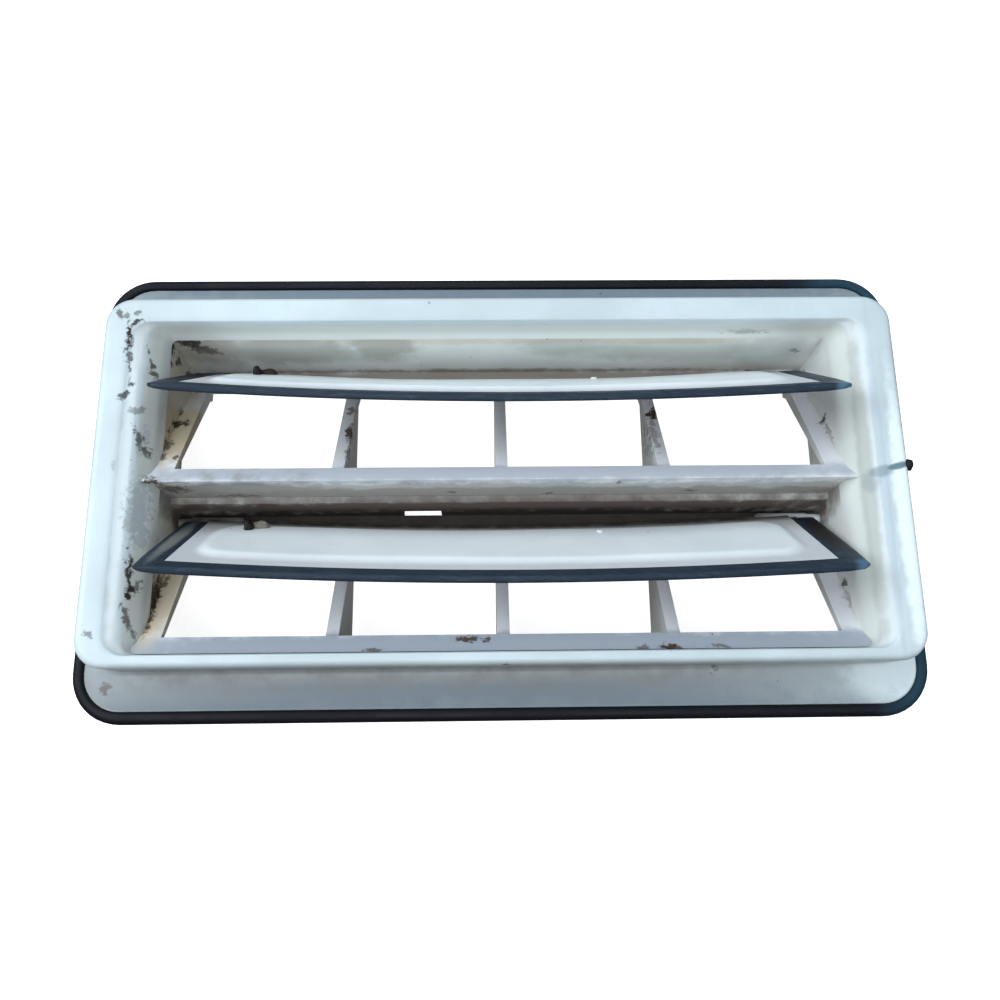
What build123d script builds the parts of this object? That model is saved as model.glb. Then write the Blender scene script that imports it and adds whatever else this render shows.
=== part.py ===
"""Car-body pressure-relief air vent.

A moulded frame lies on its back with its mouth up (+Z). Two rows of ribbed windows sit in the frame,
each closed by a bowed flap that swings freely on two end pivots. A soft lip seal runs round the flange.
+X is to the right along the frame, +Y runs from the lower to the upper row. The origin is at the middle
of the rear plane, on which the frame rests.
"""

import os
from math import cos, radians, sin, sqrt, tan

from build123d import *

# --- Driving dimensions, millimetres and degrees ---

# Mouth rim
MOUTH_Z = 30.0            # height of the rim's front land above the rear plane
RIM_WIDTH = 192.6
RIM_HEIGHT = 89.3
RIM_CORNER = 6.5
RIM_EDGE_FILLET = 1.2
RIM_WALL = 2.2
LAND_BACK_Z = 27.6        # rear face of the land inside the hollow sides
LAND_BACK_MARGIN = 2.4    # distance from the ledge to the hollow

# Opening through the rim, from the land down to the duct
OPENING_HALF_WIDTH = 89.8
OPENING_TOP_Y = 38.15
OPENING_BOTTOM_Y = -41.75
LEDGE_HALF_WIDTH = 86.3
LEDGE_Z = 28.2
STEP_HALF_WIDTH = 83.6
STEP_Z = 25.0
OPENING_CORNER = 5.0
LEDGE_CORNER = 3.5
STEP_CORNER = 2.0
DUCT_CORNER = 1.5
STEP_FLARE = 0.1          # how far the opening's long sides move outward from one level to the next

# Duct behind the rim
DUCT_HALF_WIDTH = 83.0
DUCT_FRONT_Z = 22.0       # where the duct walls meet the rim
DUCT_WALL = 2.2
DUCT_BOTTOM_Y = -41.4     # inner face of the bottom wall
DUCT_TOP_FRONT_Y = 37.48  # inner face of the top wall at its front edge
DUCT_TOP_REAR_Y = 35.7    # inner face of the top wall at the rear plane
DUCT_TOP_OUTER_Y = 39.7

# Flange and seal
FLANGE_FRONT_Z = 15.0
FLANGE_THICKNESS = 2.5
FLANGE_WIDTH = 199.2
FLANGE_HEIGHT = 108.2
FLANGE_CORNER = 9.0
SEAL_RIM = 3.0            # width of the seal outside the flange's edge
SEAL_FRONT = 0.6          # how far the seal stands proud of the flange's face
SEAL_OVERLAP = 4.6        # width of the seal behind the flange
SEAL_BACK = 2.6           # depth of the seal behind the flange
SEAL_LIP = 0.9            # thickness of the lip that meets the panel
SEAL_LIP_DEPTH = 2.4
SEAL_GRIP = 2.0           # width of the foot that meets the flange's rear face
SEAL_FILLET = 1.4

# Seats: two parallel planes that lean back from the mouth
ROW_PITCH = 40.0          # distance from the upper row to the lower row
SEAT_ANGLE = 36.0
SEAT_Z_AT_ORIGIN = 26.15  # height of the upper seat's plane above Y = 0
NOSE_Y = -1.38            # front edge of the upper seat
HOLE_BOTTOM_Y = 2.5       # lower edge of the upper windows
HOLE_TOP_Y = 30.5         # upper edge of the upper windows
HOLE_HALF_WIDTH = 78.5
SEAT_THICKNESS = 1.5
WEB = 2.0                 # thickness of the webs behind the bar and the sill

# Window ribs
RIB_PITCH = 39.6
RIB_THICKNESS = 3.0
RIB_REAR_Z = 3.0
RIB_DROP = 1.0            # height of the seat's plane over the ribs' front edges
RIB_FOOT = 2.0            # length of the rib's foot at the rear plane
RIB_FOOT_SLOPE = 3.0

# Middle bar's underside
BAR_STEP_Z = 13.0
BAR_STEP_FRONT_Y = -1.9
BAR_STEP_REAR_Y = -3.4
BAR_REAR_Y = -4.45
BAR_STEP_DROP = 0.5       # fall of the step from front to rear
BAR_SKIN = 1.8            # thickness of the underside, measured along Y
BAR_SHOULDER_INSET = 1.5
BAR_SHOULDER_RISE = 7.0   # height of the inner shoulder over the step
DRAIN_NOTCH_X = -20.5
DRAIN_NOTCH_WIDTH = 10.0
DRAIN_NOTCH_TOP_Z = 6.0
SILL_SKIN = 0.9           # thickness of the sill's front edge

# Hinge rails behind the flaps
RAIL_HEIGHT = 2.0

# Cut-aways along the side walls' rear edge: height, lower end, start of the fall, upper end
RIGHT_NOTCH = (3.4, 6.0, 20.0, 29.0)
LEFT_NOTCH = (7.4, 6.0, 14.0, 29.0)
NOTCH_RUN = 3.0           # length of the slope at the lower end
WALL_SLOPE_START_Y = -14.0
WALL_SLOPE_END_Z = 14.5

# Flaps
HINGE_Y = 33.2            # upper flap's pivot axis
HINGE_Z = 5.24
UPPER_FLAP_ANGLE = 64.5   # lean of the resting flap from the rear plane
LOWER_FLAP_ANGLE = 61.8
FLAP_HALF_WIDTH = 80.5
FLAP_LENGTH = 38.8        # pivot axis to free edge
FLAP_BACK = 0.5           # how far the plate reaches behind the pivot axis
FLAP_BOW = 2.8            # sag of the flap's middle below its ends
FLAP_MIDDLE_W = -2.1      # height of the plate's middle surface over the axis, at mid width
PLATE_THICKNESS = 1.8
PLATE_HALF_WIDTH = 75.0
PLATE_LENGTH = 35.2
TONGUE_THICKNESS = 0.9
TONGUE_REACH = 2.2        # how far the plate's tongue runs into the lip
TONGUE_SETBACK = 1.0      # distance of the tongue from the lip's start
LIP_THICKNESS = 2.0
LIP_START = 2.6
LIP_CUT = 1.0             # extra room that keeps the lip clear of the plate
PILLOW_RISE = 1.0
PILLOW_HALF_WIDTH = 71.5
PILLOW_START = 4.5
PILLOW_END = 31.5
PILLOW_CORNER = 8.0
OUTLINE_DEPTH = 4.0       # half the depth of the block that trims the pillow

# Pivots
PIN_RADIUS = 1.4
PIN_END_X = 84.8
BARREL_RADIUS = 1.5
BARREL_START_X = 68.0
BARREL_END_X = 79.9
PIVOT_CLEARANCE = 0.05

# Stop tab with its lug, and gate mark, on the outer face of each plate
TAB_X = -62.5
TAB_WIDTH = 1.4
TAB_START = 9.0
TAB_LENGTH = 2.5
TAB_HEIGHT = 3.0          # above the plate's flat face
LUG_WIDTH = 3.4
LUG_START = 7.2
LUG_HEIGHT = 2.2
LUG_OVERLAP = 0.1         # how far the lug runs into the tab
GATE_X = 24.5
GATE_RADIUS = 1.7
GATE_RISE = 0.8           # above the pillow
GATE_POSITION = 10.5

# Snap clips behind the flange
CLIP_WIDTH = 10.0
CLIP_PITCH = 60.0
CLIP_TIP_Z = 2.0
CLIP_CATCH_Z = 8.4
CLIP_REACH = 2.8
CLIP_EDGE = 1.6           # height of the clip's flat edge

PARTS_FOLDER = "parts"


def seat_height(y):
    """Height of the upper seat's plane above the rear plane."""
    return SEAT_Z_AT_ORIGIN - y * tan(radians(SEAT_ANGLE))


def save(piece, label):
    """Label a finished piece and write its STEP file."""
    piece.part.label = label
    export_step(piece.part, f"{PARTS_FOLDER}/{label}.step")


def row_shift(row):
    """Offset along Y of a row of windows: 0 for the upper one."""
    return 0.0 if row == "upper" else -ROW_PITCH


os.makedirs(PARTS_FOLDER, exist_ok=True)


# --- Mouth rim: hollow at its sides, open at the back ---

def opening_sketch(z, half_width, bottom, top, corner):
    """Rounded opening at one height of the rim."""
    with BuildSketch(Plane.XY.offset(z)) as outline:
        with Locations((0, (bottom + top) / 2)):
            RectangleRounded(2 * half_width, top - bottom, corner)
    return outline.sketch


opening_stages = [
    (DUCT_FRONT_Z, DUCT_HALF_WIDTH, DUCT_BOTTOM_Y, DUCT_TOP_FRONT_Y, DUCT_CORNER),
    (STEP_Z, STEP_HALF_WIDTH, DUCT_BOTTOM_Y - STEP_FLARE, DUCT_TOP_FRONT_Y + 2 * STEP_FLARE, STEP_CORNER),
    (LEDGE_Z, LEDGE_HALF_WIDTH, DUCT_BOTTOM_Y - 2 * STEP_FLARE, OPENING_TOP_Y - STEP_FLARE, LEDGE_CORNER),
    (MOUTH_Z, OPENING_HALF_WIDTH, OPENING_BOTTOM_Y, OPENING_TOP_Y, OPENING_CORNER),
]

# Space inside the duct walls and the rim's flared opening, which trims what spans the duct
with BuildPart() as duct_space:
    with BuildSketch(Plane.YZ):
        with BuildLine():
            Polyline(
                (DUCT_BOTTOM_Y, 0),
                (DUCT_TOP_REAR_Y, 0),
                (DUCT_TOP_FRONT_Y, DUCT_FRONT_Z),
                (DUCT_BOTTOM_Y, DUCT_FRONT_Z),
                close=True,
            )
        make_face()
    extrude(amount=DUCT_HALF_WIDTH, both=True)
    for rear_stage, front_stage in zip(opening_stages, opening_stages[1:]):
        loft([opening_sketch(*rear_stage), opening_sketch(*front_stage)])

duct_outer_x = DUCT_HALF_WIDTH + DUCT_WALL
hollow_x = RIM_WIDTH / 2 - RIM_WALL

with BuildPart() as mouth_rim:
    with BuildSketch(Plane.XY.offset(FLANGE_FRONT_Z)):
        RectangleRounded(RIM_WIDTH, RIM_HEIGHT, RIM_CORNER)
    extrude(amount=MOUTH_Z - FLANGE_FRONT_Z)
    fillet(mouth_rim.faces().sort_by(Axis.Z)[-1].edges(), RIM_EDGE_FILLET)
    add(duct_space.part, mode=Mode.SUBTRACT)
    # Room for the duct walls behind the opening
    with BuildSketch(Plane.XY.offset(FLANGE_FRONT_Z)):
        with Locations((0, (DUCT_BOTTOM_Y - DUCT_WALL + DUCT_TOP_OUTER_Y) / 2)):
            Rectangle(2 * duct_outer_x, DUCT_TOP_OUTER_Y - DUCT_BOTTOM_Y + DUCT_WALL)
    extrude(amount=DUCT_FRONT_Z - FLANGE_FRONT_Z, mode=Mode.SUBTRACT)
    # Hollow behind the land on both short sides
    with BuildSketch(Plane.XZ.offset(-DUCT_TOP_OUTER_Y)):
        for side in (1, -1):
            with BuildLine():
                Polyline(
                    (side * duct_outer_x, FLANGE_FRONT_Z),
                    (side * hollow_x, FLANGE_FRONT_Z),
                    (side * hollow_x, LAND_BACK_Z),
                    (side * (LEDGE_HALF_WIDTH + LAND_BACK_MARGIN), LAND_BACK_Z),
                    (side * duct_outer_x, DUCT_FRONT_Z),
                    close=True,
                )
            make_face()
    extrude(amount=DUCT_TOP_OUTER_Y - DUCT_BOTTOM_Y, mode=Mode.SUBTRACT)
save(mouth_rim, "mouth_rim")


# --- Mounting flange ---

inner_top = RIM_HEIGHT / 2 - RIM_WALL
inner_bottom = DUCT_BOTTOM_Y - DUCT_WALL
flange_rear_z = FLANGE_FRONT_Z - FLANGE_THICKNESS

with BuildPart() as mounting_flange:
    with BuildSketch(Plane.XY.offset(flange_rear_z)):
        RectangleRounded(FLANGE_WIDTH, FLANGE_HEIGHT, FLANGE_CORNER)
        with Locations((0, (inner_top + inner_bottom) / 2)):
            Rectangle(2 * hollow_x, inner_top - inner_bottom, mode=Mode.SUBTRACT)
    extrude(amount=FLANGE_THICKNESS)
save(mounting_flange, "mounting_flange")


# --- Lip seal: wraps the flange's edge, with a thin lip towards the body panel ---

seal_width = FLANGE_WIDTH + 2 * SEAL_RIM
seal_height = FLANGE_HEIGHT + 2 * SEAL_RIM
seal_corner = FLANGE_CORNER + SEAL_RIM
seal_rear = Plane.XY.offset(flange_rear_z - SEAL_BACK)

with BuildPart() as lip_seal:
    with BuildSketch(seal_rear):
        RectangleRounded(seal_width, seal_height, seal_corner)
    extrude(amount=SEAL_BACK + FLANGE_THICKNESS + SEAL_FRONT)
    fillet(lip_seal.faces().sort_by(Axis.Z)[-1].edges(), SEAL_FILLET)
    with BuildSketch(Plane.XY.offset(flange_rear_z)):
        RectangleRounded(FLANGE_WIDTH, FLANGE_HEIGHT, FLANGE_CORNER)
    extrude(amount=FLANGE_THICKNESS + SEAL_FRONT, mode=Mode.SUBTRACT)
    with BuildSketch(seal_rear):
        RectangleRounded(
            FLANGE_WIDTH - 2 * SEAL_OVERLAP,
            FLANGE_HEIGHT - 2 * SEAL_OVERLAP,
            FLANGE_CORNER - SEAL_OVERLAP,
        )
    extrude(amount=SEAL_BACK, mode=Mode.SUBTRACT)
    # Groove in the rear face, leaving a thin lip along the outer edge
    with BuildSketch(seal_rear):
        RectangleRounded(seal_width - 2 * SEAL_LIP, seal_height - 2 * SEAL_LIP, seal_corner - SEAL_LIP)
        RectangleRounded(
            FLANGE_WIDTH - 2 * SEAL_GRIP,
            FLANGE_HEIGHT - 2 * SEAL_GRIP,
            FLANGE_CORNER - SEAL_GRIP,
            mode=Mode.SUBTRACT,
        )
    extrude(amount=SEAL_LIP_DEPTH, mode=Mode.SUBTRACT)
save(lip_seal, "lip_seal")


# --- Duct walls ---

def pivot_points():
    """Pivot axes of both flaps in the YZ plane."""
    return [(HINGE_Y + row_shift(row), HINGE_Z) for row in ("upper", "lower")]


def side_wall(side):
    """Short wall of the duct, with a bearing hole for each flap's pin. side is 1 or -1."""
    plane = Plane.YZ.offset(DUCT_HALF_WIDTH if side > 0 else -DUCT_HALF_WIDTH - DUCT_WALL)
    bottom = DUCT_BOTTOM_Y - DUCT_WALL
    notch_z, notch_low_y, notch_fall_y, notch_high_y = RIGHT_NOTCH if side > 0 else LEFT_NOTCH
    with BuildPart() as wall:
        with BuildSketch(plane):
            with BuildLine():
                Polyline(
                    (bottom, DUCT_FRONT_Z),
                    (bottom, WALL_SLOPE_END_Z),
                    (WALL_SLOPE_START_Y, 0),
                    (notch_low_y - NOTCH_RUN, 0),
                    (notch_low_y, notch_z),
                    (notch_fall_y, notch_z),
                    (notch_high_y, 0),
                    (DUCT_TOP_OUTER_Y, 0),
                    (DUCT_TOP_OUTER_Y, DUCT_FRONT_Z),
                    close=True,
                )
            make_face()
            with Locations(*pivot_points()):
                Circle(PIN_RADIUS + PIVOT_CLEARANCE, mode=Mode.SUBTRACT)
        extrude(amount=DUCT_WALL)
    return wall


save(side_wall(-1), "side_wall_left")
save(side_wall(1), "side_wall_right")

with BuildPart() as top_wall:
    with BuildSketch(Plane.YZ):
        with BuildLine():
            Polyline(
                (DUCT_TOP_REAR_Y, 0),
                (DUCT_TOP_OUTER_Y, 0),
                (DUCT_TOP_OUTER_Y, DUCT_FRONT_Z),
                (DUCT_TOP_FRONT_Y, DUCT_FRONT_Z),
                close=True,
            )
        make_face()
    extrude(amount=DUCT_HALF_WIDTH, both=True)
save(top_wall, "top_wall")

with BuildPart() as bottom_wall:
    with BuildSketch(Plane.YZ):
        with Locations((DUCT_BOTTOM_Y - DUCT_WALL / 2, DUCT_FRONT_Z / 2)):
            Rectangle(DUCT_WALL, DUCT_FRONT_Z)
    extrude(amount=DUCT_HALF_WIDTH, both=True)
save(bottom_wall, "bottom_wall")


# --- Middle bar: sill of the upper windows and roof of the lower flap, hollow from the rear ---

bar_front_y = HOLE_BOTTOM_Y - WEB
hollow_front_z = seat_height(bar_front_y) - SEAT_THICKNESS / cos(radians(SEAT_ANGLE))

with BuildPart() as middle_bar:
    with BuildSketch(Plane.YZ):
        with BuildLine():
            Polyline(
                (NOSE_Y, seat_height(NOSE_Y)),
                (HOLE_BOTTOM_Y, seat_height(HOLE_BOTTOM_Y)),
                (HOLE_BOTTOM_Y, 0),
                (bar_front_y, 0),
                (bar_front_y, hollow_front_z),
                (NOSE_Y + BAR_SHOULDER_INSET, BAR_STEP_Z + BAR_SHOULDER_RISE),
                (BAR_STEP_FRONT_Y + BAR_SKIN, BAR_STEP_Z),
                (BAR_STEP_REAR_Y + BAR_SKIN, BAR_STEP_Z - 2 * BAR_STEP_DROP),
                (BAR_REAR_Y + BAR_SKIN, 0),
                (BAR_REAR_Y, 0),
                (BAR_REAR_Y, RAIL_HEIGHT + BAR_SKIN),
                (BAR_STEP_REAR_Y, BAR_STEP_Z - BAR_STEP_DROP),
                (BAR_STEP_FRONT_Y, BAR_STEP_Z),
                close=True,
            )
        make_face()
    extrude(amount=LEDGE_HALF_WIDTH, both=True)
    add(duct_space.part, mode=Mode.INTERSECT)
    # Notch in the underside's rear edge that lets water out
    with BuildSketch(Plane.XZ.offset(-BAR_REAR_Y - BAR_SKIN)):
        with Locations((DRAIN_NOTCH_X, DRAIN_NOTCH_TOP_Z / 2)):
            Rectangle(DRAIN_NOTCH_WIDTH, DRAIN_NOTCH_TOP_Z)
    extrude(amount=BAR_SKIN, mode=Mode.SUBTRACT)
save(middle_bar, "middle_bar")


# --- Bottom sill: seat strip and web in front of the bottom wall ---

sill_y = HOLE_BOTTOM_Y - ROW_PITCH
strip_drop = SEAT_THICKNESS / cos(radians(SEAT_ANGLE))

with BuildPart() as bottom_sill:
    with BuildSketch(Plane.YZ):
        with BuildLine():
            Polyline(
                (DUCT_BOTTOM_Y, DUCT_FRONT_Z),
                (DUCT_BOTTOM_Y, seat_height(DUCT_BOTTOM_Y + ROW_PITCH)),
                (sill_y, seat_height(HOLE_BOTTOM_Y)),
                (sill_y, 0),
                (sill_y - WEB, 0),
                (sill_y - WEB, seat_height(HOLE_BOTTOM_Y - WEB) - strip_drop),
                (DUCT_BOTTOM_Y + SILL_SKIN, DUCT_FRONT_Z),
                close=True,
            )
        make_face()
    extrude(amount=LEDGE_HALF_WIDTH, both=True)
    add(duct_space.part, mode=Mode.INTERSECT)
save(bottom_sill, "bottom_sill")


# --- Hinge rails: rear edge of the windows behind each pivot axis ---

def hinge_rail(row):
    """Flat rail at the rear plane, from the windows' upper edge to the wall or bar behind the pivots."""
    front = HOLE_TOP_Y + row_shift(row)
    wall_slope = (DUCT_TOP_FRONT_Y - DUCT_TOP_REAR_Y) / DUCT_FRONT_Z
    back = DUCT_TOP_REAR_Y if row == "upper" else BAR_REAR_Y
    back_top = back + wall_slope * RAIL_HEIGHT if row == "upper" else back
    with BuildPart() as rail:
        with BuildSketch(Plane.YZ):
            with BuildLine():
                Polyline((front, 0), (back, 0), (back_top, RAIL_HEIGHT), (front, RAIL_HEIGHT), close=True)
            make_face()
        extrude(amount=DUCT_HALF_WIDTH, both=True)
    return rail


# --- Seat sides: slanted strips that close each row of windows at its ends ---

def seat_side(row, side):
    """Seat strip at one end of a row. side is 1 or -1."""
    shift = row_shift(row)
    bottom = (HOLE_BOTTOM_Y + shift, seat_height(HOLE_BOTTOM_Y))
    top = (HOLE_TOP_Y + shift, seat_height(HOLE_TOP_Y))
    plane = Plane.YZ.offset(HOLE_HALF_WIDTH if side > 0 else -LEDGE_HALF_WIDTH)
    with BuildPart() as seat:
        with BuildSketch(plane):
            with BuildLine():
                Polyline(
                    bottom,
                    top,
                    (top[0], 0),
                    (top[0] - RIB_FOOT, 0),
                    (top[0] - RIB_FOOT_SLOPE, top[1] - strip_drop),
                    (bottom[0], bottom[1] - strip_drop),
                    close=True,
                )
            make_face()
        extrude(amount=LEDGE_HALF_WIDTH - HOLE_HALF_WIDTH)
        add(duct_space.part, mode=Mode.INTERSECT)
    return seat


# --- Window ribs ---

def window_rib(row, x):
    """Triangular web that carries the seat plane across a row of windows."""
    shift = row_shift(row)
    with BuildPart() as rib:
        with BuildSketch(Plane.YZ.offset(x)):
            with BuildLine():
                Polyline(
                    (HOLE_BOTTOM_Y + shift, RIB_REAR_Z),
                    (HOLE_BOTTOM_Y + shift, seat_height(HOLE_BOTTOM_Y) - RIB_DROP),
                    (HOLE_TOP_Y + shift, seat_height(HOLE_TOP_Y) - RIB_DROP),
                    (HOLE_TOP_Y + shift, 0),
                    (HOLE_TOP_Y + shift - RIB_FOOT, 0),
                    (HOLE_TOP_Y + shift - RIB_FOOT - RIB_FOOT_SLOPE, RIB_REAR_Z),
                    close=True,
                )
            make_face()
        extrude(amount=RIB_THICKNESS / 2, both=True)
    return rib


# --- Flaps: a bowed plate with a soft lip round three edges ---

def flap_planes(row):
    """Two planes on a flap's pivot axis: across the flap (normal to its length), and along its face."""
    angle = radians(UPPER_FLAP_ANGLE if row == "upper" else LOWER_FLAP_ANGLE)
    origin = (0, HINGE_Y + row_shift(row), HINGE_Z)
    along = (0, -cos(angle), sin(angle))
    outward = (0, sin(angle), cos(angle))
    return Plane(origin, x_dir=(1, 0, 0), z_dir=along), Plane(origin, x_dir=(1, 0, 0), z_dir=outward)


def bow(x):
    """Height of the plate's middle surface over the pivot axis, at a distance x from mid width."""
    radius = (FLAP_HALF_WIDTH**2 + FLAP_BOW**2) / (2 * FLAP_BOW)
    return FLAP_MIDDLE_W + radius - sqrt(radius**2 - x**2)


def bowed_slab(section, half_width, low, high, start, end):
    """Slab that follows the flap's bow, from low to high over its middle surface, between two lengths."""
    with BuildPart() as slab:
        with BuildSketch(section.offset(start)):
            with BuildLine():
                ends = bow(half_width)
                middle = bow(0)
                ThreePointArc((-half_width, ends + low), (0, middle + low), (half_width, ends + low))
                Line((half_width, ends + low), (half_width, ends + high))
                ThreePointArc((half_width, ends + high), (0, middle + high), (-half_width, ends + high))
                Line((-half_width, ends + high), (-half_width, ends + low))
            make_face()
        extrude(amount=end - start)
    return slab.part


def pillow(row):
    """Raised field with rounded corners on the outer face of a plate."""
    section, face = flap_planes(row)
    slab = bowed_slab(
        section, PILLOW_HALF_WIDTH, 0, PLATE_THICKNESS / 2 + PILLOW_RISE, PILLOW_START, PILLOW_END
    )
    with BuildPart() as outline:
        with BuildSketch(face.offset(-OUTLINE_DEPTH)):
            with Locations((0, -(PILLOW_START + PILLOW_END) / 2)):
                RectangleRounded(2 * PILLOW_HALF_WIDTH, PILLOW_END - PILLOW_START, PILLOW_CORNER)
        extrude(amount=3 * OUTLINE_DEPTH)
    return slab & outline.part


def flap_plate(row):
    """Stiff plate with its pillow, tongue, barrels, pins, stop tab and gate mark."""
    section, face = flap_planes(row)
    half = PLATE_THICKNESS / 2
    tongue = TONGUE_THICKNESS / 2
    tongue_start = LIP_START + TONGUE_SETBACK
    tongue_end = PLATE_LENGTH + TONGUE_REACH
    tongue_half_width = PLATE_HALF_WIDTH + TONGUE_REACH
    body = bowed_slab(section, PLATE_HALF_WIDTH, -half, half, -FLAP_BACK, PLATE_LENGTH)
    edge = bowed_slab(section, tongue_half_width, -tongue, tongue, tongue_start, tongue_end)
    field = pillow(row)
    with BuildPart() as plate:
        add(body)
        add(edge)
        add(field)
        # Barrels and pins on the pivot axis
        for side in (1, -1):
            barrel_plane = Plane.YZ.offset(side * BARREL_START_X)
            with BuildSketch(barrel_plane):
                with Locations((HINGE_Y + row_shift(row), HINGE_Z)):
                    Circle(BARREL_RADIUS)
            extrude(amount=side * (BARREL_END_X - BARREL_START_X))
            with BuildSketch(barrel_plane):
                with Locations((HINGE_Y + row_shift(row), HINGE_Z)):
                    Circle(PIN_RADIUS)
            extrude(amount=side * (PIN_END_X - BARREL_START_X))
        # Stop tab and its lug
        with BuildSketch(face.offset(bow(TAB_X))):
            with Locations((TAB_X, -TAB_START - TAB_LENGTH / 2)):
                Rectangle(TAB_WIDTH, TAB_LENGTH)
        extrude(amount=half + TAB_HEIGHT)
        with BuildSketch(face.offset(bow(TAB_X))):
            lug_x = TAB_X + (TAB_WIDTH + LUG_WIDTH) / 2 - LUG_OVERLAP
            with Locations((lug_x, -LUG_START - TAB_LENGTH / 2)):
                Rectangle(LUG_WIDTH, TAB_LENGTH)
        extrude(amount=half + LUG_HEIGHT)
        # Gate mark
        with BuildSketch(face.offset(bow(GATE_X))):
            with Locations((GATE_X, -GATE_POSITION)):
                Circle(GATE_RADIUS)
        extrude(amount=half + PILLOW_RISE + GATE_RISE)
    return plate


def flap_lip(row, plate):
    """Soft lip moulded round the plate's free edge and both ends."""
    section, _ = flap_planes(row)
    half = LIP_THICKNESS / 2
    band = bowed_slab(section, FLAP_HALF_WIDTH, -half, half, LIP_START, FLAP_LENGTH)
    room = bowed_slab(
        section, PLATE_HALF_WIDTH, -half - LIP_CUT, half + LIP_CUT, LIP_START - LIP_CUT, PLATE_LENGTH
    )
    with BuildPart() as lip:
        add(band)
        add(room, mode=Mode.SUBTRACT)
        add(plate.part, mode=Mode.SUBTRACT)
    return lip


# --- Snap clips behind the flange ---

def snap_clips(side):
    """Three wedge clips on a long wall. side is 1 for the top wall, -1 for the bottom wall."""
    wall_y = DUCT_TOP_OUTER_Y if side > 0 else DUCT_BOTTOM_Y - DUCT_WALL
    with BuildPart() as clips:
        for x in (-CLIP_PITCH, 0, CLIP_PITCH):
            with BuildSketch(Plane.YZ.offset(x)):
                with BuildLine():
                    Polyline(
                        (wall_y, CLIP_TIP_Z),
                        (wall_y + side * CLIP_REACH, CLIP_CATCH_Z - CLIP_EDGE),
                        (wall_y + side * CLIP_REACH, CLIP_CATCH_Z),
                        (wall_y, CLIP_CATCH_Z),
                        close=True,
                    )
                make_face()
            extrude(amount=CLIP_WIDTH / 2, both=True)
    return clips


save(snap_clips(1), "snap_clips_top")
save(snap_clips(-1), "snap_clips_bottom")

rib_places = {"left": -RIB_PITCH, "centre": 0.0, "right": RIB_PITCH}
for row_name in ("upper", "lower"):
    save(hinge_rail(row_name), f"{row_name}_hinge_rail")
    save(seat_side(row_name, -1), f"{row_name}_seat_left")
    save(seat_side(row_name, 1), f"{row_name}_seat_right")
    for place, rib_x in rib_places.items():
        save(window_rib(row_name, rib_x), f"{row_name}_rib_{place}")
    flap = flap_plate(row_name)
    save(flap, f"{row_name}_flap_plate")
    save(flap_lip(row_name, flap), f"{row_name}_flap_lip")
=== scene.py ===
"""Car-body pressure-relief vent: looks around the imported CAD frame."""

import math

import bmesh
import bpy
from mathutils import Matrix, Vector, noise


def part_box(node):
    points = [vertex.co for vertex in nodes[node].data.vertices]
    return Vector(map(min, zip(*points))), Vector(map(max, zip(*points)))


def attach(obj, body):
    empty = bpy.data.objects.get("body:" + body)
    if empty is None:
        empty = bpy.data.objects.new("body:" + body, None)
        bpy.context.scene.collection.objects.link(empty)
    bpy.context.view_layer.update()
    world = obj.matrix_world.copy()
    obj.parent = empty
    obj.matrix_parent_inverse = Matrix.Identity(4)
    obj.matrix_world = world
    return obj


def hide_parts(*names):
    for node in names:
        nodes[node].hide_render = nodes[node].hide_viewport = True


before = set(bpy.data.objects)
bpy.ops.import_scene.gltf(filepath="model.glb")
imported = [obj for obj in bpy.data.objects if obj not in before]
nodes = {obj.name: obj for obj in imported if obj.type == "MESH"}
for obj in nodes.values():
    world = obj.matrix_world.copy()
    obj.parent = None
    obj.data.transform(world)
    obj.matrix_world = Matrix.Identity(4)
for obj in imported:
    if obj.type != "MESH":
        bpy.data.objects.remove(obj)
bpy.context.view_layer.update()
scene = bpy.context.scene

MM = 0.001


# --- Camera, light and floor ---

# Camera placed by a target and distance in millimetres
VIEW_TARGET = (-0.55, -7.1, 30.0)
VIEW_DISTANCE = 200.5
VIEW_TILT = math.radians(13.4)
VIEW_ROLL = math.radians(0.45)
VIEW_YAW = math.radians(0.9)
LENS = 31.08
SENSOR_WIDTH = 36

direction = Vector((
    math.cos(VIEW_TILT) * math.sin(VIEW_YAW),
    math.sin(VIEW_TILT),
    -math.cos(VIEW_TILT) * math.cos(VIEW_YAW),
))
right = Vector((math.cos(VIEW_ROLL), -math.sin(VIEW_ROLL), 0))
right = (right - direction * right.dot(direction)).normalized()
up = right.cross(direction)
camera_data = bpy.data.cameras.new("camera")
camera_data.lens = LENS
camera_data.sensor_width = SENSOR_WIDTH
camera_data.clip_start = 0.01
camera_data.clip_end = 20
camera = bpy.data.objects.new("camera", camera_data)
turn = Matrix((right, up, -direction)).transposed().to_4x4()
place = (Vector(VIEW_TARGET) - direction * VIEW_DISTANCE) * MM
camera.matrix_world = Matrix.Translation(place) @ turn
scene.collection.objects.link(camera)
scene.camera = camera
scene.view_settings.view_transform = "Standard"
scene.view_settings.look = "None"


def area_light(name, location, target, size, power, colour):
    """Rectangular softbox aimed at a target, in metres and watts."""
    data = bpy.data.lights.new(name, "AREA")
    data.shape = "RECTANGLE"
    data.size, data.size_y = size
    data.energy = power
    data.color = colour
    lamp = bpy.data.objects.new(name, data)
    aim = (Vector(target) - Vector(location)).to_track_quat("-Z", "Y")
    lamp.matrix_world = Matrix.Translation(location) @ aim.to_matrix().to_4x4()
    scene.collection.objects.link(lamp)


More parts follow.
